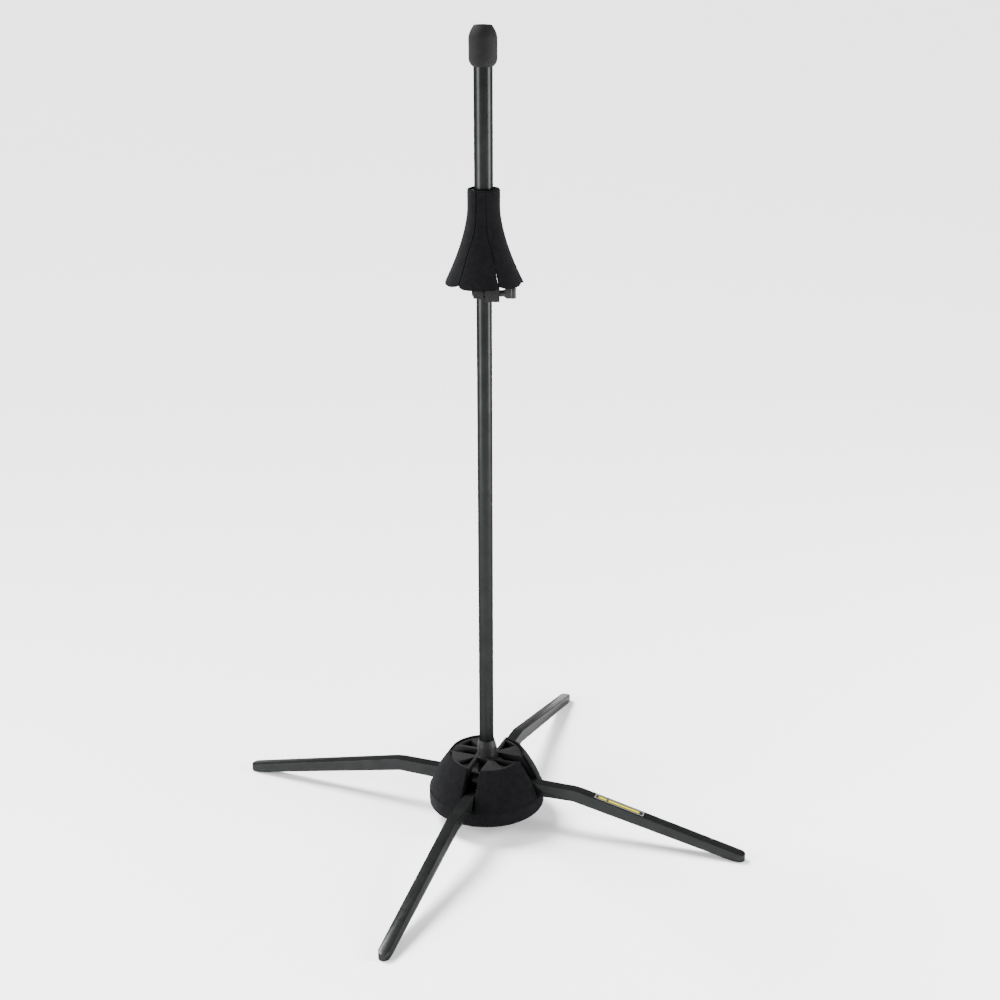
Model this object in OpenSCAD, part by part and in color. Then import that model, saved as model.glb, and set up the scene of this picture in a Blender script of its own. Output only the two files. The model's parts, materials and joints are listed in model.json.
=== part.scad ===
// Folding in-bell stand for a brass instrument: four folding legs in a flocked hub,
// a telescopic post with a clamp, and a cone of hinged, flocked petals that carries the bell.
// Millimetres. The floor is z = 0 and the post stands on the Z axis.

/* [Post] */
// Outer diameter of the lower tube
lower_tube_d = 16; // [14:0.5:18]
// Outer diameter of the upper tube
upper_tube_d = 19; // [18.6:0.2:21]
// Height of the top of the bumper above the floor
overall_h = 867; // [840:1:900]
// Height of the lower end of the clamp
clamp_z = 598; // [590:1:600]

/* [Hub] */
// Radius of the hub at its lower band
hub_r = 64.6; // [63:0.2:68]
// Height of the hub's underside above the floor
hub_z = 20; // [16:1:22]
// Height of the hub's upper rim above the floor
hub_top_z = 77.7; // [76:0.1:80]
// Radius of the hub's upper rim
hub_rim_r = 42.4; // [42:0.2:46]

/* [Legs] */
// Distance from the post's axis to the end of a leg
leg_reach = 298; // [260:1:320]
// Width of a leg
leg_w = 12; // [10:0.5:12.5]
// Distance from the post's axis to the bend in a leg
knee_x = 107; // [100:1:120]
// Height of the top of a leg between the hub and the bend
leg_top_z = 52; // [50:0.5:53]

/* [Bell support] */
// Height of the lower edge of the petals
petal_z = 615; // [614:1:618]
// Length of the petals
petal_len = 95.2; // [92:0.2:97]
// Outer radius of the petals at their necks
neck_r = 16.4; // [16.2:0.1:16.8]
// How much wider the petals are at their lower edge
flare = 23.8; // [22:0.2:26]
// Direction of the first petal, in degrees
petal_turn = -79; // [-90:1:-70]
// Direction of the clamp's screw, in degrees
clamp_turn = 20.5; // [0:0.5:45]

/* [Hidden] */
$fn = 64;
eps = 0.01;
over = 1;         // how far a cut runs past the face it cuts
drill = 60;       // length of a drill that passes right through
leg_count = 4;
petal_count = 6;

lower_r = lower_tube_d / 2;
upper_r = upper_tube_d / 2;
tube_wall = 1.1;
slip = 0.08;      // radial gap between parts that turn or slide on each other
seat = 0.03;      // radial gap between parts that are fixed to each other

// hub
shell_wall = 2.6;
rim_wall = 3;
band_h = 17;
band_step = 1.2;
dome_steps = 8;
shoulder_r = hub_r - band_step;
slot_w = leg_w + 3;
slot_in = 20;
core_floor_z = hub_z + 13.2;
core_floor_h = 3.3;
core_gap = 0.6;
core_top_h = 6;
core_top_z = hub_top_z - 1.5;
collar_r = 10.4;
collar_low_z = hub_z + 5;
collar_z = hub_top_z + 10.5;
collar_tip_r = 8.9;
collar_tip_h = 7;
boss_r = 32;
boss_z = 56;
cheek_t = 3;
pocket_side = 10.2;
pocket_turn = 41;
pocket_in = 13.5;
pocket_out = 36.5;
pocket_z = 50;
screw_count = 4;
screw_start = 45;
screw_x = 48;
screw_post_r = 4.5;
base_screw_r = 1.5;
base_head_r = 3.4;
base_head_z = hub_z + 0.7;
plate_z = hub_z + 0.6;
plate_top_z = hub_z + 3.2;
rib_count = 24;
tube_foot_z = hub_z + 6.5;
post_pin_z = hub_z + 10;
post_pin_r = 1.5;
plunger_l = 18;
plunger_r = 2.5;

// legs
pivot_x = 44;
pivot_z = leg_top_z - 7.5;
pivot_r = 7.5;
pin_r = 2.5;
nose_gap = 0.3;
nose_x = pivot_x - pivot_r - nose_gap;
ball_r = 1.7;
bush_r = 5.2;
leg_wall = 1.3;
knee_half = 4;
knee_drop = 0.9;
knee_low = [knee_x - 3, leg_top_z - 13.5];
tip_top_z = 8.5;
tip_flat = 12;
pad_t = 1;
pad_l = 26;
pad_top_z = 5;
pad_back_z = 2.4;
cheek_gap = 0.9;
label_in = 17;
label_size = [58, 8.8, 0.3];

// clamp
clamp_r = 12.6;
clamp_h = 24;
clamp_low_z = clamp_z + 4.4;
rim_z = clamp_z + 2.1;
ear_z = clamp_z + 1.6;
liner_rim_h = 2;
liner_rim_r = 11.4;
ear_reach = 20.5;
ear_gap = 1.6;
ear_x = 15.5;
ear_h = 14.9;
nut_ear_x = 11;
nut_ear_z = clamp_z + 5;
nut_ear_h = 11.5;
nut_r = 4.6;
nut_h = 3.8;
screw_y = -15.5;
screw_z = clamp_z + 9.5;
screw_r = 2.5;
screw_tail = 12.5;
screw_neck_r = 3.4;
wing_x = ear_x + 5;
wing_t = 4.6;
wing_h = 10;
wing_neck_h = 6;
wing_l = 9.4;
wing_bead_r = 3.1;
tube_end_z = clamp_z + 13.5;

// petals
petal_top_z = petal_z + petal_len;
petal_t = 2.4;
neck_t = 1.8;
petal_gap = 0.7;
neck_round = 0.9;
petal_steps = 14;
petal_room = 60;     // wider than any petal
neck_share = 0.2;
flare_power = 1.6;
hinge_x = 11.8;
hinge_z = petal_top_z - 3.6;
hinge_pin_r = 0.9;
knuckle_r = 1.9;
knuckle_w = 5;
hinge_pin_l = 8.2;
carrier_r = 13.7;
carrier_top_r = 12.9;
carrier_h = 16;
seam_turn = 25;
// height above the lower edge, and angle from the middle of a narrow petal, of its side edges
seam = [[-1, 31.6], [21, 30.2], [35, 27.6], [53, 17.8], [petal_len + 1, 16.4]];

// expander
expander_z = petal_z + 24;
expander_r = 25.8;
expander_hub_r = 12.2;
expander_hub_h = 18;
vent_x = 18;
vent_r = 2.4;

// top
bumper_r = 14.15;
bumper_h = 38.9;
bumper_foot_r = 10.2;
bumper_tip_r = 8.9;
bumper_hole_r = 7.8;
foot_share = 0.23;
head_share = 0.665;
bumper_z = overall_h - bumper_h;
upper_tube_top = overall_h - 8;
plug_rim_h = 2.5;
plug_h = 6;
lower_tube_top = 760;
bush_top_h = 8;
bush_plug_h = 14;

module around(n, start = 0) {
    for (i = [0 : n - 1]) rotate([0, 0, start + i * 360 / n]) children();
}

// a bar along the local Y axis, from -l/2 to l/2, at (x, z)
module cross_bar(x, z, r, l) {
    translate([x, 0, z]) rotate([90, 0, 0]) cylinder(r = r, h = l, center = true);
}

// a bar along the local X axis, from x0 to x1
module x_bar(r, x0, x1) {
    translate([x0, 0, 0]) rotate([0, 90, 0]) cylinder(r = r, h = x1 - x0);
}

module cylinder_at(r, z0, z1) {
    translate([0, 0, z0]) cylinder(r = r, h = z1 - z0);
}

module tube(r_out, r_in, z0, z1) {
    difference() {
        cylinder_at(r_out, z0, z1);
        cylinder_at(r_in, z0 - over, z1 + over);
    }
}

module at_screws() {
    around(screw_count, screw_start) translate([screw_x, 0, 0]) children();
}

// ---- hub ----

// outer radius of the dome, from the shoulder (s = 0) to the rim (s = 1)
function dome_r(s) = shoulder_r + (hub_rim_r - shoulder_r) * (0.58 * s + 0.42 * s * s);
function dome_z(s) = hub_z + band_h + (hub_top_z - hub_z - band_h) * s;

// half section of the dome, made smaller by inset, reaching down to z0
module dome_profile(inset, z0) {
    polygon(concat(
        [[0, z0], [hub_r - inset, z0], [hub_r - inset, hub_z + band_h - 1],
         [shoulder_r - inset, hub_z + band_h]],
        [for (i = [1 : dome_steps]) [dome_r(i / dome_steps) - inset, dome_z(i / dome_steps)]],
        [[0, hub_top_z]]));
}

module hub_shell() {
    color([0.035, 0.035, 0.04]) difference() {
        rotate_extrude($fn = 128) difference() {
            dome_profile(0, hub_z);
            dome_profile(shell_wall, hub_z - over);
            translate([-over, hub_top_z - rim_wall]) square([hub_rim_r - shell_wall + over, 2 * rim_wall]);
        }
        around(leg_count) translate([slot_in, -slot_w / 2, core_floor_z + core_floor_h])
            cube([hub_r, slot_w, hub_top_z]);
    }
}

// two plates beside each leg, kept inside the dome
module core_cheeks() {
    cheek_y = leg_w / 2 + cheek_gap;
    intersection() {
        around(leg_count) for (y = [-cheek_y - cheek_t, cheek_y])
            translate([boss_r - cheek_t, y, core_floor_z]) cube([hub_r, cheek_t, core_top_z - core_floor_z]);
        rotate_extrude() dome_profile(shell_wall + core_gap, hub_z);
    }
}

module core_body() {
    cylinder_at(shoulder_r - shell_wall - core_gap, core_floor_z, core_floor_z + core_floor_h);
    cylinder_at(boss_r, core_floor_z, boss_z);
    cylinder_at(collar_r, collar_low_z, collar_z);
    translate([0, 0, collar_z - eps]) cylinder(r1 = collar_r, r2 = collar_tip_r, h = collar_tip_h);
    cylinder_at(hub_rim_r - shell_wall - core_gap, core_top_z - core_top_h, core_top_z);
    core_cheeks();
    at_screws() cylinder_at(screw_post_r, plate_top_z, core_floor_z + over);
}

// a deep pocket in the half of a lobe beside each leg's slot
module lobe_pocket() {
    reach = 2 * pocket_out;
    translate([0, 0, pocket_z]) linear_extrude(core_top_z - pocket_z + over) difference() {
        intersection() {
            circle(r = pocket_out);
            polygon([[pocket_side / tan(pocket_turn), -pocket_side], [reach, -pocket_side],
                     [reach, -reach * tan(pocket_turn)]]);
        }
        circle(r = pocket_in);
    }
}

// the room a leg needs in the core
module leg_space() {
    space_w = leg_w + 2 * cheek_gap;
    translate([boss_r + 2.5, -space_w / 2, core_floor_z + core_floor_h]) cube([hub_r, space_w, hub_top_z]);
    translate([collar_r + over, -space_w / 2, boss_z]) cube([hub_r, space_w, hub_top_z]);
}

module hub_core() {
    color([0.06, 0.06, 0.065]) difference() {
        core_body();
        cylinder_at(lower_r + seat, tube_foot_z, hub_top_z * 2);
        around(leg_count) {
            leg_space();
            cross_bar(pivot_x, pivot_z, pin_r + seat, drill);
            translate([0, 0, pivot_z]) x_bar(plunger_r + seat, nose_x - plunger_l - nose_gap, pivot_x);
            lobe_pocket();
        }
        at_screws() cylinder_at(base_screw_r + 0.1, hub_z, hub_z + 13);
        cross_bar(0, post_pin_z, post_pin_r + seat, drill);
    }
}

module base_plate() {
    color([0.05, 0.05, 0.055]) difference() {
        union() {
            cylinder_at(hub_r - shell_wall - 0.3, plate_z, plate_top_z);
            around(rib_count) translate([42, -0.6, plate_top_z - 0.1]) cube([16, 1.2, 2.4]);
        }
        at_screws() {
            cylinder_at(base_screw_r + 0.4, hub_z, hub_z + 10);
            cylinder_at(base_head_r + 0.3, hub_z, base_head_z + 1.5);
            cylinder_at(screw_post_r + 0.7, plate_top_z, hub_z + 10);
        }
    }
}

module base_screws() {
    color("dimgray") at_screws() difference() {
        union() {
            cylinder_at(base_head_r, base_head_z, base_head_z + 1.5 - seat);
            cylinder_at(base_screw_r, base_head_z + eps, hub_z + 12);
        }
        translate([0, 0, base_head_z]) for (a = [0, 90]) rotate([0, 0, a])
            cube([3.6, 0.8, 1.6], center = true);
    }
}

module leg_pins() {
    color("silver") around(leg_count) cross_bar(pivot_x, pivot_z, pin_r, leg_w + 2 * cheek_gap + 2 * cheek_t);
}

module spring_plungers() {
    color("silver") around(leg_count) translate([nose_x, 0, pivot_z]) {
        x_bar(plunger_r, -plunger_l, -3);
        x_bar(ball_r, -4, -ball_r);
        translate([-ball_r, 0, 0]) sphere(r = ball_r);
    }
}

module post_pin() {
    color("silver") cross_bar(0, post_pin_z, post_pin_r, 2 * collar_r);
}

// ---- legs ----

// underside and top of a leg in side view, [x, z], from the hub to the tip and back to the hub
function leg_line(deep, drop) = [
    [knee_low[0], knee_low[1] - deep], [leg_reach - tip_flat, pad_t - deep], [leg_reach, pad_t - deep],
    [leg_reach, tip_top_z - drop], [knee_x + knee_half, leg_top_z - knee_drop - drop],
    [knee_x - knee_half, leg_top_z - drop]];

// plan view of a leg: a bar with a round end
module leg_plan(w, reach) {
    translate([0, -w / 2]) square([reach - w / 2, w]);
    translate([reach - w / 2, 0]) circle(d = w);
}

// an outline in side view, cut to a leg's width and round end
module leg_bar(w, reach, outline) {
    intersection() {
        rotate([90, 0, 0]) linear_extrude(2 * leg_w, center = true) polygon(outline);
        translate([0, 0, -leg_w]) linear_extrude(leg_top_z + 2 * leg_w) leg_plan(w, reach);
    }
}

module leg(i) {
    root = [for (a = [90 : 15 : 270]) [pivot_x + pivot_r * cos(a), pivot_z + pivot_r * sin(a)]];
    color([0.10, 0.11, 0.11]) rotate([0, 0, i * 90]) difference() {
        leg_bar(leg_w, leg_reach, concat(root, leg_line(0, 0)));
        leg_bar(leg_w - 2 * leg_wall, leg_reach - leg_wall,
            concat([[0, leg_top_z - leg_wall], [0, -over]], leg_line(2 * over, leg_wall)));
        cross_bar(pivot_x, pivot_z, pin_r + slip, drill);
    }
}

module leg_bush(i) {
    color("ivory") rotate([0, 0, i * 90]) difference() {
        cross_bar(pivot_x, pivot_z, bush_r, leg_w - 2 * leg_wall - 0.3);
        cross_bar(pivot_x, pivot_z, pin_r + slip, drill);
    }
}

// the pad is a tight plug in the end of the channel, and stands out below it
module foot_pad(i) {
    x0 = leg_reach - pad_l;
    color([0.04, 0.04, 0.04]) rotate([0, 0, i * 90])
        leg_bar(leg_w - 2 * leg_wall - 0.1, leg_reach - leg_wall - 0.05,
            [[x0, pad_top_z], [x0, pad_back_z], [leg_reach - tip_flat, 0], [leg_reach, 0],
             [leg_reach, pad_top_z]]);
}

// a thin plate on the sloping top of the first leg
module leg_label() {
    start_x = knee_x + knee_half;
    start_z = leg_top_z - knee_drop;
    slope = atan2(start_z - tip_top_z, leg_reach - start_x);
    color([0.95, 0.78, 0.1]) translate([start_x, 0, start_z]) rotate([0, slope, 0])
        translate([label_in, -label_size[1] / 2, 0.02]) cube(label_size);
}

// ---- post ----

module lower_tube() {
    color([0.12, 0.13, 0.13]) difference() {
        tube(lower_r, lower_r - tube_wall, tube_foot_z + 0.1, lower_tube_top);
        cross_bar(0, post_pin_z, post_pin_r + seat, drill);
    }
}

module guide_bush() {
    color("ivory") {
        cylinder_at(upper_r - tube_wall - slip, lower_tube_top, lower_tube_top + bush_top_h);
        cylinder_at(lower_r - tube_wall - seat, lower_tube_top - bush_plug_h, lower_tube_top + eps);
    }
}

module upper_tube() {
    color([0.12, 0.13, 0.13]) tube(upper_r, upper_r - tube_wall, tube_end_z, upper_tube_top);
}

module top_plug() {
    color([0.02, 0.02, 0.02]) {
        cylinder_at(upper_r - tube_wall - seat, upper_tube_top - plug_h, upper_tube_top);
        cylinder_at(upper_r - 0.2, upper_tube_top, upper_tube_top + plug_rim_h);
    }
}

// outer radius of the bumper at the share s of its height
function bumper_x(s) =
    s < foot_share ? bumper_foot_r + (bumper_r - bumper_foot_r) * (1 - pow(1 - s / foot_share, 2.6))
    : s < head_share ? bumper_r
    : bumper_tip_r + (bumper_r - bumper_tip_r) * (1 - pow((s - head_share) / (1 - head_share), 1.85));

module top_bumper() {
    steps = 20;
    color([0.2, 0.2, 0.21]) difference() {
        rotate_extrude() polygon(concat(
            [[0, bumper_z]],
            [for (i = [0 : steps]) [bumper_x(i / steps), bumper_z + bumper_h * i / steps]],
            [[0, overall_h]]));
        cylinder_at(upper_r + seat, bumper_z - over, upper_tube_top + plug_rim_h);
        cylinder_at(bumper_hole_r, upper_tube_top, overall_h + over);
    }
}

// ---- clamp ----

module clamp_frame() {
    rotate([0, 0, clamp_turn]) children();
}

module clamp_liner() {
    color([0.05, 0.05, 0.052]) difference() {
        union() {
            cylinder_at(upper_r - seat, rim_z, tube_end_z - 0.1);
            cylinder_at(liner_rim_r, rim_z, rim_z + liner_rim_h);
        }
        cylinder_at(lower_r + slip, clamp_z - over, tube_end_z + over);
    }
}

module clamp_body() {
    color([0.07, 0.07, 0.075]) clamp_frame() difference() {
        union() {
            cylinder_at(clamp_r, clamp_low_z, clamp_z + clamp_h);
            translate([0, -ear_reach, ear_z]) cube([ear_x, ear_reach, ear_h]);
            translate([-nut_ear_x, over - ear_reach, nut_ear_z])
                cube([nut_ear_x, ear_reach - over, nut_ear_h]);
        }
        cylinder_at(upper_r + seat, clamp_z, clamp_z + clamp_h + over);
        cylinder_at(liner_rim_r + 0.4, clamp_z, clamp_low_z);
        translate([-ear_gap / 2, -ear_reach - over, clamp_z]) cube([ear_gap, ear_reach, clamp_h + over]);
        translate([0, screw_y, screw_z]) {
            x_bar(screw_r + 0.1, -drill, drill);
            translate([-nut_ear_x - 0.1, 0, 0]) rotate([0, 90, 0])
                cylinder(r = nut_r + 0.1, h = nut_h + 0.2, $fn = 6);
        }
    }
}

module clamp_nut() {
    color([0.13, 0.13, 0.14]) clamp_frame() translate([-nut_ear_x, screw_y, screw_z]) difference() {
        rotate([0, 90, 0]) cylinder(r = nut_r, h = nut_h, $fn = 6);
        x_bar(screw_r + 0.05, -over, nut_h + over);
    }
}

// outline of the screw's wing, from its neck outwards
wing_outline = [[-1, -wing_neck_h / 2], [2.2, -wing_h / 2], [wing_l, -wing_h / 2],
                [wing_l, wing_h / 2], [2.2, wing_h / 2], [-1, wing_neck_h / 2]];

module thumb_screw() {
    color([0.16, 0.16, 0.17]) clamp_frame() translate([0, screw_y, screw_z]) {
        x_bar(screw_r, -screw_tail, wing_x);
        x_bar(screw_neck_r, ear_x + 0.15, wing_x + 0.15);
        translate([wing_x, 0, 0]) rotate([90, 0, 0]) linear_extrude(wing_t, center = true)
            polygon(wing_outline);
        translate([wing_x + wing_l - 0.8, 0, -wing_h / 2]) cylinder(r = wing_bead_r, h = wing_h);
    }
}

// ---- bell support ----

// outer radius of the petals at height z
function flare_part(z) = max(0, ((petal_top_z - z) / petal_len - neck_share) / (1 - neck_share));
function petal_r(z) = neck_r + flare * pow(flare_part(z), flare_power);
function petal_wall(z) = neck_t + (petal_t - neck_t) * (petal_top_z - z) / petal_len;

module petal_profile() {
    zs = [for (i = [0 : petal_steps]) petal_z + petal_len * i / petal_steps];
    polygon(concat(
        [for (z = zs) [petal_r(z) - petal_wall(z), z]],
        [[neck_r - neck_round, petal_top_z], [neck_r, petal_top_z - neck_round]],
        [for (i = [petal_steps - 1 : -1 : 0]) [petal_r(zs[i]), zs[i]]]));
}

function seam_u(p) = petal_r(petal_z + p[0]) * sin(p[1] - seam_turn);

// everything inside a seam; side is 1 or -1, and sign is 1 on a narrow petal and -1 on a wide one
module seam_cut(side, sign) {
    turn = sign > 0 ? seam_turn : 60 - seam_turn;
    shift = sign > 0 ? 0 : -petal_gap;
    edge = [for (p = seam) [sign * seam_u(p) + shift, petal_z + p[0]]];
    scale([1, side, 1]) rotate([0, 0, turn]) rotate([90, 0, 90]) linear_extrude(petal_room)
        polygon(concat([[-petal_room, petal_z - over]], edge, [[-petal_room, petal_top_z + over]]));
}

// lower edge of a petal: rise is how far its corners stand above its middle
module petal_outline(half_w, rise, power) {
    ys = [for (i = [-petal_steps : petal_steps]) half_w * i / petal_steps];
    rotate([90, 0, 90]) linear_extrude(petal_room)
        polygon(concat([[-petal_room, petal_top_z + over], [-petal_room, petal_z + rise]],
            [for (y = ys) [y, petal_z + rise * pow(abs(y) / half_w, power)]],
            [[petal_room, petal_z + rise], [petal_room, petal_top_z + over]]));
}

module petal(i) {
    narrow = i % 2 == 0;
    sign = narrow ? 1 : -1;
    color([0.03, 0.03, 0.035]) rotate([0, 0, petal_turn + i * 60]) difference() {
        union() {
            intersection() {
                rotate([0, 0, -50]) rotate_extrude(angle = 100, $fn = 96) petal_profile();
                seam_cut(1, sign);
                seam_cut(-1, sign);
                if (narrow) petal_outline(21.4, 4.2, 9);
                else petal_outline(19.6, 4.8, 2.8);
            }
            cross_bar(hinge_x, hinge_z, knuckle_r, knuckle_w);
            translate([hinge_x, -knuckle_w / 2, hinge_z - knuckle_r])
                cube([neck_r - neck_t + 0.4 - hinge_x, knuckle_w, 2 * knuckle_r]);
        }
        cross_bar(hinge_x, hinge_z, hinge_pin_r + 0.05, knuckle_w + 2);
    }
}

module petal_carrier() {
    top = hinge_z + 2;
    color([0.10, 0.10, 0.11]) difference() {
        union() {
            cylinder_at(carrier_r, top - carrier_h, hinge_z + over);
            cylinder_at(carrier_top_r, hinge_z, top);
        }
        cylinder_at(upper_r + seat, top - carrier_h - over, top + over);
        around(petal_count, petal_turn) {
            translate([hinge_x - knuckle_r - 0.3, -knuckle_w / 2 - 0.2, hinge_z - knuckle_r - 1])
                cube([10, knuckle_w + 0.4, 10]);
            cross_bar(hinge_x, hinge_z, hinge_pin_r + seat, hinge_pin_l + 0.2);
        }
    }
}

module petal_pins() {
    color("silver") around(petal_count, petal_turn) cross_bar(hinge_x, hinge_z, hinge_pin_r, hinge_pin_l);
}

module expander() {
    color([0.08, 0.08, 0.085]) difference() {
        translate([0, 0, expander_z]) rotate_extrude() polygon([
            [upper_r + slip, 4 - expander_hub_h], [expander_hub_r, 4 - expander_hub_h],
            [expander_hub_r, -6], [expander_r - 1, -2.6], [expander_r, -1.6], [expander_r - 0.5, 0],
            [expander_hub_r + 0.2, -2.4], [expander_hub_r, 4], [upper_r + slip, 4]]);
        around(petal_count, petal_turn + 30) translate([vent_x, 0, 0])
            cylinder_at(vent_r, expander_z - 10, expander_z + 10);
    }
}

hub_shell();
hub_core();
base_plate();
base_screws();
leg_pins();
spring_plungers();
post_pin();
lower_tube();
guide_bush();
clamp_liner();
upper_tube();
top_plug();
top_bumper();
clamp_body();
clamp_nut();
thumb_screw();
petal_carrier();
petal_pins();
expander();
for (i = [0 : petal_count - 1])
    petal(i);
for (i = [0 : leg_count - 1]) {
    leg(i);
    leg_bush(i);
    foot_pad(i);
}
leg_label();
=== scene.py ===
import json
import math

import bmesh
import bpy
from mathutils import Matrix, Vector, noise


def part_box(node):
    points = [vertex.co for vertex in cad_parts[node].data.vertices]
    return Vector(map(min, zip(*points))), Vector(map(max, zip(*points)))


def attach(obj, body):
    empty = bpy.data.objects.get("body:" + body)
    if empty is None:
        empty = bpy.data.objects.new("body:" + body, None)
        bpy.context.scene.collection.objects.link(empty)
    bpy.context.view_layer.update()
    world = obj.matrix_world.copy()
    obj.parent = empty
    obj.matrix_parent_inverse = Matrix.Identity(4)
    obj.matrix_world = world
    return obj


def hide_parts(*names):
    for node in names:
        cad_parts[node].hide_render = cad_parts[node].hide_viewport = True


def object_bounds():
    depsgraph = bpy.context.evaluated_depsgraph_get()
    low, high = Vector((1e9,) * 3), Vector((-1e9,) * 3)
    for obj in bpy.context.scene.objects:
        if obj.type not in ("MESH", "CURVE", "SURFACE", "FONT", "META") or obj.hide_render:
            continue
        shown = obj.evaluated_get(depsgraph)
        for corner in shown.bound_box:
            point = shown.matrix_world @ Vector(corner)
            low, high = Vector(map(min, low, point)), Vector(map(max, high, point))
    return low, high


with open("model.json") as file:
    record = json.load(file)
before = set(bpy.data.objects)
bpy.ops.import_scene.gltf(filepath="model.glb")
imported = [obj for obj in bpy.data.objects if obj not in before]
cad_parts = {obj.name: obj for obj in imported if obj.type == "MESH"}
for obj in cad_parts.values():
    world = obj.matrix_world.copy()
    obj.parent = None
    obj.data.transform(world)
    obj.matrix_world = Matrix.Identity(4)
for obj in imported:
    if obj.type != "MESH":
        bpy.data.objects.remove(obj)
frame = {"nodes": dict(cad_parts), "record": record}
CAD_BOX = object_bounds()
NODES = frame["nodes"]
BODY_OF = {n: b for b, members in frame["record"]["behaviour"]["bodies"].items() for n in members}
SLOT_OF = {s["node"]: s["material_slot"] for s in frame["record"]["subparts"]}
MM = 0.001


# ---- camera, floor and lights ----

CAMERA_TURN = 20.46        # degrees round the post, from straight in front
CAMERA_DISTANCE = 1.6737   # metres from the post, along the floor
CAMERA_HEIGHT = 1.0036     # metres
CAMERA_TILT = 20.43        # degrees down
CAMERA_PAN = 0.536         # degrees to the right of the post
CAMERA_ROLL = -0.109       # degrees
CAMERA_LENS = 60.62        # millimetres
CAMERA_SENSOR = 36         # millimetres across
CAMERA_NEAR = 0.05         # metres

FLOOR_HALF = 30            # metres, half of its side
FLOOR_TONE = (0.92, 0.92, 0.92, 1)

STRIP_DISTANCE = 1.9       # metres from the post
STRIP_HEIGHT = 0.75        # metres
LEFT_STRIP_TURN = -64      # degrees to the right of the camera
LEFT_STRIP_SIZE = (0.85, 1.5)
LEFT_STRIP_POWER = 95
RIGHT_STRIP_TURN = 76
RIGHT_STRIP_SIZE = (0.75, 1.5)
RIGHT_STRIP_POWER = 105
SUN_TURN = -125
SUN_SLOPE = 1.35           # its rise over one metre along the floor
SUN_POWER = 12
SUN_ANGLE = 24             # degrees across, for soft shadows

DOME_STRENGTH = 2.6        # radiance at the horizon
DOME_LOW = 1.0             # share of it at the horizon
DOME_HIGH = 0.16           # and overhead
DOME_BAND = (0.02, 0.16)   # heights of direction between which it fades


def turned(degrees, axis):
    return Matrix.Rotation(math.radians(degrees), 4, axis)


def make_camera():
    data = bpy.data.cameras.new("camera")
    data.lens = CAMERA_LENS
    data.sensor_width = CAMERA_SENSOR
    data.clip_start = CAMERA_NEAR
    camera = bpy.data.objects.new("camera", data)
    bpy.context.scene.collection.objects.link(camera)
    place = turned(CAMERA_TURN, "Z") @ Vector((0, -CAMERA_DISTANCE, CAMERA_HEIGHT))
    aim = turned(CAMERA_TURN - CAMERA_PAN, "Z") @ turned(90 - CAMERA_TILT, "X") @ turned(CAMERA_ROLL, "Z")
    camera.matrix_world = Matrix.Translation(place) @ aim
    bpy.context.scene.camera = camera


def make_floor():
    mesh = bpy.data.meshes.new("floor")
    half = FLOOR_HALF
    corners = [(-half, -half, 0), (half, -half, 0), (half, half, 0), (-half, half, 0)]
    mesh.from_pydata(corners, [], [(0, 1, 2, 3)])
    floor = bpy.data.objects.new("floor", mesh)
    bpy.context.scene.collection.objects.link(floor)
    mat, bsdf, _ = new_material("floor")
    bsdf.inputs["Base Color"].default_value = FLOOR_TONE
    bsdf.inputs["Roughness"].default_value = 0.7
    bsdf.inputs["Specular IOR Level"].default_value = 0.2
    mesh.materials.append(mat)


def area_light(name, place, aim, size, power):
    data = bpy.data.lights.new(name, "AREA")
    data.shape = "RECTANGLE"
    data.size, data.size_y = size
    data.energy = power
    light = bpy.data.objects.new(name, data)
    bpy.context.scene.collection.objects.link(light)
    facing = (Vector(aim) - Vector(place)).to_track_quat("-Z", "Y")
    light.matrix_world = Matrix.Translation(place) @ facing.to_matrix().to_4x4()


def from_camera(degrees, distance, height):
    """A point seen from the post: degrees to the right of the camera, and metres along the floor."""
    return turned(CAMERA_TURN + degrees, "Z") @ Vector((0, -distance, height))


def make_lights():
    middle = (0, 0, CAD_BOX[1][2] / 2)
    left = from_camera(LEFT_STRIP_TURN, STRIP_DISTANCE, STRIP_HEIGHT)
    area_light("left_strip", left, middle, LEFT_STRIP_SIZE, LEFT_STRIP_POWER)
    right = from_camera(RIGHT_STRIP_TURN, STRIP_DISTANCE, STRIP_HEIGHT)
    area_light("right_strip", right, middle, RIGHT_STRIP_SIZE, RIGHT_STRIP_POWER)
    sun = bpy.data.lights.new("key", "SUN")
    sun.energy = SUN_POWER
    sun.angle = math.radians(SUN_ANGLE)
    key = bpy.data.objects.new("key", sun)
    bpy.context.scene.collection.objects.link(key)
    direction = from_camera(SUN_TURN, 1.0, SUN_SLOPE)
    key.matrix_world = direction.to_track_quat("Z", "Y").to_matrix().to_4x4()
    make_world()


def make_world():
    """A soft dome: as bright as the floor near the horizon, and dimmer overhead."""
    world = bpy.data.worlds.new("studio")
    bpy.context.scene.world = world
    world.use_nodes = True
    tree = world.node_tree
    split = tree.nodes.new("ShaderNodeSeparateXYZ")
    tree.links.new(tree.nodes.new("ShaderNodeTexCoord").outputs["Generated"], split.inputs["Vector"])
    glow = ramp_of(tree, split.outputs["Z"], [(DOME_BAND[0], DOME_LOW), (DOME_BAND[1], DOME_HIGH)])
    tree.links.new(glow, tree.nodes["Background"].inputs["Color"])
    tree.nodes["Background"].inputs["Strength"].default_value = DOME_STRENGTH


# ---- materials ----

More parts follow.
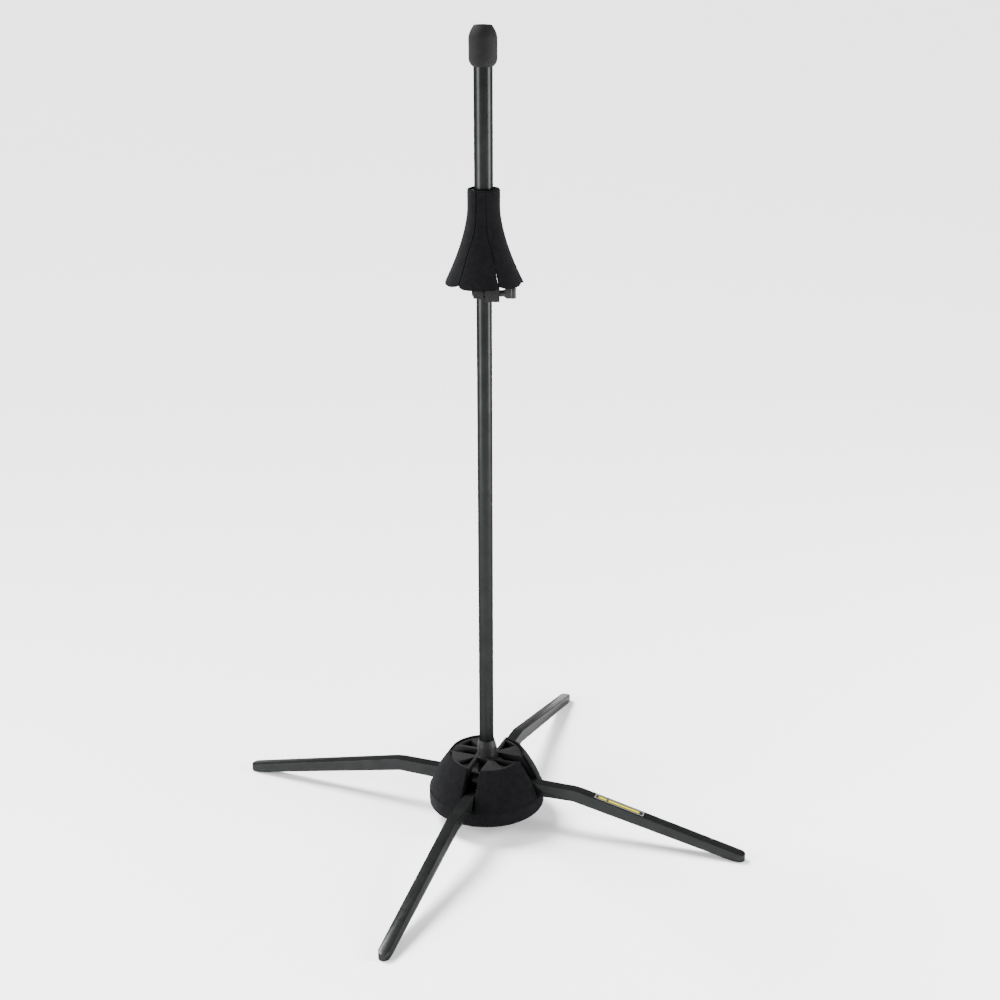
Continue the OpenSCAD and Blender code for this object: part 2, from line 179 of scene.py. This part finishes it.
FLOCK_DARK = (0.0032, 0.0032, 0.0036)
FLOCK_LIGHT = (0.0052, 0.0052, 0.0058)
PAINT_COOL = 1.06          # green and blue over red
PAINT_RIM = (0.25, 0.25, 0.25, 1)
ZINC_DARK = (0.45, 0.46, 0.47)
ZINC_LIGHT = (0.68, 0.68, 0.66)
YELLOW_DARK = (0.4, 0.33, 0.0004)
YELLOW_LIGHT = (0.46, 0.39, 0.0006)
FILM_BLACK = (0.008, 0.008, 0.009, 1)
FILM_PALE = (0.3, 0.3, 0.27, 1)
LABEL_OUTLINE = (0.7 * MM, 1.15 * MM)       # its outer and inner edge, in from the label's edge
LABEL_BARS = ((0.18, 0.62), (-0.68, 0.16))  # centre and half length, as shares of the label's half length
LABEL_BAR_WIDTH = 0.3


def new_material(name):
    mat = bpy.data.materials.new(name)
    mat.use_nodes = True
    tree = mat.node_tree
    return mat, tree.nodes["Principled BSDF"], tree


def point_of(tree):
    return tree.nodes.new("ShaderNodeTexCoord").outputs["Object"]


def noise_of(tree, per_m, detail, rough=0.55):
    """Noise with about per_m features to the metre."""
    tex = tree.nodes.new("ShaderNodeTexNoise")
    tex.inputs["Scale"].default_value = per_m
    tex.inputs["Detail"].default_value = detail
    tex.inputs["Roughness"].default_value = rough
    tree.links.new(point_of(tree), tex.inputs["Vector"])
    return tex.outputs["Fac"]


def ramp_of(tree, value, stops):
    """Colours along a value; stops are (place, grey or colour)."""
    ramp = tree.nodes.new("ShaderNodeValToRGB")
    tree.links.new(value, ramp.inputs["Fac"])
    marks = ramp.color_ramp.elements
    while len(marks) < len(stops):
        marks.new(0.5)
    for mark, (place, colour) in zip(marks, stops):
        mark.position = place
        rgb = (colour,) * 3 if isinstance(colour, float) else colour
        mark.color = (*rgb, 1)
    return ramp.outputs["Color"]


def add_bump(tree, bsdf, value, height, strength):
    bump = tree.nodes.new("ShaderNodeBump")
    bump.inputs["Distance"].default_value = height
    bump.inputs["Strength"].default_value = strength
    tree.links.new(value, bump.inputs["Height"])
    tree.links.new(bump.outputs["Normal"], bsdf.inputs["Normal"])


def flock():
    """Short dense black pile: no gloss, a pale edge sheen, and faint clouds where the pile leans."""
    mat, bsdf, tree = new_material("flock")
    clouds = ramp_of(tree, noise_of(tree, 160, 6), [(0.3, FLOCK_DARK), (0.72, FLOCK_LIGHT)])
    tree.links.new(clouds, bsdf.inputs["Base Color"])
    bsdf.inputs["Roughness"].default_value = 0.95
    bsdf.inputs["Specular IOR Level"].default_value = 0.02
    bsdf.inputs["Sheen Weight"].default_value = 0.035
    bsdf.inputs["Sheen Roughness"].default_value = 0.4
    bsdf.inputs["Sheen Tint"].default_value = (0.75, 0.77, 0.82, 1)
    add_bump(tree, bsdf, noise_of(tree, 2200, 3, 0.7), 0.35 * MM, 0.6)
    return mat


def painted_steel(name, tone, metal, rough):
    """Black paint on steel, dark even at glancing angles, with a faint orange peel."""
    mat, bsdf, tree = new_material(name)
    low, high = ((tone * k, tone * k * PAINT_COOL, tone * k * PAINT_COOL) for k in (0.85, 1.15))
    colour = ramp_of(tree, noise_of(tree, 60, 5), [(0.3, low), (0.7, high)])
    tree.links.new(colour, bsdf.inputs["Base Color"])
    gloss = ramp_of(tree, noise_of(tree, 240, 4), [(0.3, rough - 0.03), (0.7, rough + 0.03)])
    tree.links.new(gloss, bsdf.inputs["Roughness"])
    bsdf.inputs["Metallic"].default_value = metal
    bsdf.inputs["Specular IOR Level"].default_value = 0.25
    bsdf.inputs["Specular Tint"].default_value = PAINT_RIM
    add_bump(tree, bsdf, noise_of(tree, 400, 2), 0.0025 * MM, 0.5)
    return mat


def moulded(name, low, high, rough, grain_per_m=1500, grain=0.03, level=0.14):
    """Moulded plastic or rubber: two near tones, uneven gloss and a fine grain, in millimetres."""
    mat, bsdf, tree = new_material(name)
    colour = ramp_of(tree, noise_of(tree, 90, 5), [(0.3, low), (0.7, high)])
    tree.links.new(colour, bsdf.inputs["Base Color"])
    gloss = ramp_of(tree, noise_of(tree, 300, 4), [(0.3, rough - 0.06), (0.7, rough + 0.06)])
    tree.links.new(gloss, bsdf.inputs["Roughness"])
    bsdf.inputs["Specular IOR Level"].default_value = level
    add_bump(tree, bsdf, noise_of(tree, grain_per_m, 3, 0.6), grain * MM, 0.7)
    return mat


def zinc():
    """Zinc-plated steel, faintly streaked."""
    mat, bsdf, tree = new_material("zinc")
    bsdf.inputs["Metallic"].default_value = 1
    colour = ramp_of(tree, noise_of(tree, 500, 4), [(0.3, ZINC_DARK), (0.7, ZINC_LIGHT)])
    tree.links.new(colour, bsdf.inputs["Base Color"])
    gloss = ramp_of(tree, noise_of(tree, 900, 3), [(0.3, 0.25), (0.7, 0.42)])
    tree.links.new(gloss, bsdf.inputs["Roughness"])
    add_bump(tree, bsdf, noise_of(tree, 2500, 3), 0.02 * MM, 0.5)
    return mat


MOULDED = {
    "core_plastic": {"low": (0.0035, 0.0035, 0.0036), "high": (0.0055, 0.0055, 0.0056), "rough": 0.5},
    "plate_plastic": {"low": (0.007, 0.007, 0.0072), "high": (0.011, 0.011, 0.0113), "rough": 0.55,
                      "grain_per_m": 900, "grain": 0.08},
    "dark_nylon": {"low": (0.003, 0.003, 0.003), "high": (0.0045, 0.0045, 0.0045), "rough": 0.5},
    "nylon": {"low": (0.6, 0.59, 0.55), "high": (0.7, 0.69, 0.64), "rough": 0.4},
    "bumper_rubber": {"low": (0.0018, 0.0018, 0.0019), "high": (0.003, 0.003, 0.0031), "rough": 0.75,
                      "grain_per_m": 1400, "grain": 0.12},
    "plug_rubber": {"low": (0.003, 0.003, 0.003), "high": (0.005, 0.005, 0.005), "rough": 0.7,
                    "grain_per_m": 1200, "grain": 0.08, "level": 0.2},
    "clamp_plastic": {"low": (0.0025, 0.0025, 0.0027), "high": (0.0042, 0.0042, 0.0044), "rough": 0.3,
                      "grain_per_m": 1400},
    "screw_plastic": {"low": (0.0075, 0.0075, 0.008), "high": (0.0115, 0.0115, 0.012), "rough": 0.32,
                      "grain_per_m": 1400},
}


def math_of(tree, kind, a, b=0.0):
    """One step of arithmetic; a and b are numbers or sockets."""
    step = tree.nodes.new("ShaderNodeMath")
    step.operation = kind
    for socket, value in zip(step.inputs, (a, b)):
        if isinstance(value, (int, float)):
            socket.default_value = value
        else:
            tree.links.new(value, socket)
    return step.outputs["Value"]


def inside(tree, axes, middle, half):
    """1 inside a box in the plane of the label and 0 outside it, all in metres."""
    masks = []
    for axis, centre, limit in zip(axes, middle, half):
        away = math_of(tree, "ABSOLUTE", math_of(tree, "SUBTRACT", axis, centre))
        masks.append(math_of(tree, "LESS_THAN", away, limit))
    return math_of(tree, "MULTIPLY", *masks)


def mix_of(tree, share, low, high):
    """A share of high over low; the colours are tuples or sockets."""
    mix = tree.nodes.new("ShaderNodeMix")
    mix.data_type = "RGBA"
    colour_a, colour_b = mix.inputs[6], mix.inputs[7]
    for socket, value in ((mix.inputs["Factor"], share), (colour_a, low), (colour_b, high)):
        if isinstance(value, tuple):
            socket.default_value = value
        else:
            tree.links.new(value, socket)
    return mix.outputs[2]


def label_film():
    """Black film with a thin pale outline and plain yellow bars, and no lettering."""
    mat, bsdf, tree = new_material("label")
    split = tree.nodes.new("ShaderNodeSeparateXYZ")
    tree.links.new(point_of(tree), split.inputs["Vector"])
    axes = (split.outputs["X"], split.outputs["Y"])
    low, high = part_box("leg_label")
    middle = [(low[k] + high[k]) / 2 for k in (0, 1)]
    half = [(high[k] - low[k]) / 2 for k in (0, 1)]
    rim = [inside(tree, axes, middle, [h - inset for h in half]) for inset in LABEL_OUTLINE]
    outline = math_of(tree, "SUBTRACT", *rim)
    bars = []
    for offset, length in LABEL_BARS:
        centre = (middle[0] + offset * half[0], middle[1])
        bars.append(inside(tree, axes, centre, (length * half[0], LABEL_BAR_WIDTH * half[1])))
    yellow = ramp_of(tree, noise_of(tree, 400, 3), [(0.3, YELLOW_DARK), (0.7, YELLOW_LIGHT)])
    film = mix_of(tree, math_of(tree, "ADD", *bars), FILM_BLACK, yellow)
    tree.links.new(mix_of(tree, outline, film, FILM_PALE), bsdf.inputs["Base Color"])
    bsdf.inputs["Roughness"].default_value = 0.5
    bsdf.inputs["Specular IOR Level"].default_value = 0.12
    add_bump(tree, bsdf, noise_of(tree, 1500, 3), 0.02 * MM, 0.5)
    return mat


def make_materials():
    made = {
        "flock": flock(),
        "zinc": zinc(),
        "black_steel": painted_steel("black_steel", tone=0.015, metal=0.65, rough=0.22),
        "tube_steel": painted_steel("tube_steel", tone=0.0125, metal=0.85, rough=0.3),
        "label": label_film(),
    }
    for name, settings in MOULDED.items():
        made[name] = moulded(name, **settings)
    return made


# ---- pieces that stand for CAD nodes ----

MERGE = 2e-6               # metres, for points that are one
FLAT = 0.5                 # degrees, for faces that are one
SHARP = 40                 # degrees, edges left sharp in the shading
CORNER = 30                # degrees, edges that get rounded
LEG_CORNER = 1.1           # corner radii in millimetres
PAD_CORNER = 0.4
ROUNDED = {"lower_tube": 0.25, "upper_tube": 0.3, "top_bumper": 0.4, "top_plug": 0.4,
           "clamp_body": 0.7, "thumb_screw": 0.7, "petal_carrier": 0.3, "expander": 0.35,
           "hub_core": 0.45, "clamp_liner": 0.3}
PETAL_VOXEL = 0.5 * MM
SHELL_VOXEL = 0.8 * MM
SOFTENING = 2              # rounds
PILE = 0.08 * MM           # how uneven the pile is
PILE_PER_M = 420
PILE_LIFT = 0.1 * MM
BARE_ROOM = 0.6 * MM       # round the hinge ring, where there is no pile
BARE_INSET = 0.05 * MM


def copy_of(node, name):
    """A clean copy of a CAD node's mesh: points merged, and flat faces joined."""
    mesh = bpy.data.meshes.new(name)
    work = bmesh.new()
    work.from_mesh(NODES[node].data)
    bmesh.ops.remove_doubles(work, verts=work.verts, dist=MERGE)
    bmesh.ops.dissolve_limit(work, angle_limit=math.radians(FLAT), verts=work.verts, edges=work.edges)
    work.to_mesh(mesh)
    work.free()
    piece = bpy.data.objects.new(name, mesh)
    bpy.context.scene.collection.objects.link(piece)
    return piece


def apply_modifiers(piece):
    bpy.context.view_layer.update()
    evaluated = piece.evaluated_get(bpy.context.evaluated_depsgraph_get())
    shaped = bpy.data.meshes.new_from_object(evaluated)
    piece.modifiers.clear()
    piece.data = shaped


def stands_for(piece, node, material):
    piece.data.materials.clear()
    piece.data.materials.append(material)
    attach(piece, BODY_OF[node])
    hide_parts(node)


def rounded(node, radius, material):
    """A CAD node with its corners rounded to a real radius, in metres."""
    piece = copy_of(node, node + "_rounded")
    bevel = piece.modifiers.new("bevel", "BEVEL")
    bevel.width = radius
    bevel.segments = 3
    bevel.limit_method = "ANGLE"
    bevel.angle_limit = math.radians(CORNER)
    apply_modifiers(piece)
    piece.data.shade_smooth()
    piece.data.set_sharp_from_angle(angle=math.radians(SHARP))
    stands_for(piece, node, material)


def raise_pile(mesh):
    """Moves each point along its normal by the pile's height, read before any point moves.
    The bare knuckles by the hinge ring are drawn in instead, so that they stay clear of its slots."""
    low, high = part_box("petal_carrier")
    bare = (high[0] - low[0]) / 2 + BARE_ROOM
    points = [v.co.copy() for v in mesh.vertices]
    normals = [v.normal.copy() for v in mesh.vertices]
    moved = []
    for point, normal in zip(points, normals):
        rise = PILE_LIFT + PILE * noise.noise(point * PILE_PER_M)
        if math.hypot(point.x, point.y) <= bare:
            rise = -BARE_INSET
        moved.extend(point + normal * rise)
    mesh.vertices.foreach_set("co", moved)
    mesh.update()


def flocked(node, voxel, material):
    """A CAD node under a layer of pile: every corner soft, and the surface very slightly uneven."""
    piece = copy_of(node, node + "_flocked")
    remesh = piece.modifiers.new("remesh", "REMESH")
    remesh.mode = "VOXEL"
    remesh.voxel_size = voxel
    soften = piece.modifiers.new("soften", "SMOOTH")
    soften.factor = 0.5
    soften.iterations = SOFTENING
    apply_modifiers(piece)
    raise_pile(piece.data)
    piece.data.shade_smooth()
    stands_for(piece, node, material)


make_camera()
make_floor()
make_lights()
MATERIALS = make_materials()

for name, cad in NODES.items():
    cad.data.materials.clear()
    cad.data.materials.append(MATERIALS[SLOT_OF[name]])

for number in range(1, 5):
    rounded(f"leg_{number}", LEG_CORNER * MM, MATERIALS["black_steel"])
    rounded(f"foot_pad_{number}", PAD_CORNER * MM, MATERIALS["plug_rubber"])
for name, radius in ROUNDED.items():
    rounded(name, radius * MM, MATERIALS[SLOT_OF[name]])
for number in range(1, 7):
    flocked(f"petal_{number}", PETAL_VOXEL, MATERIALS["flock"])
flocked("hub_shell", SHELL_VOXEL, MATERIALS["flock"])
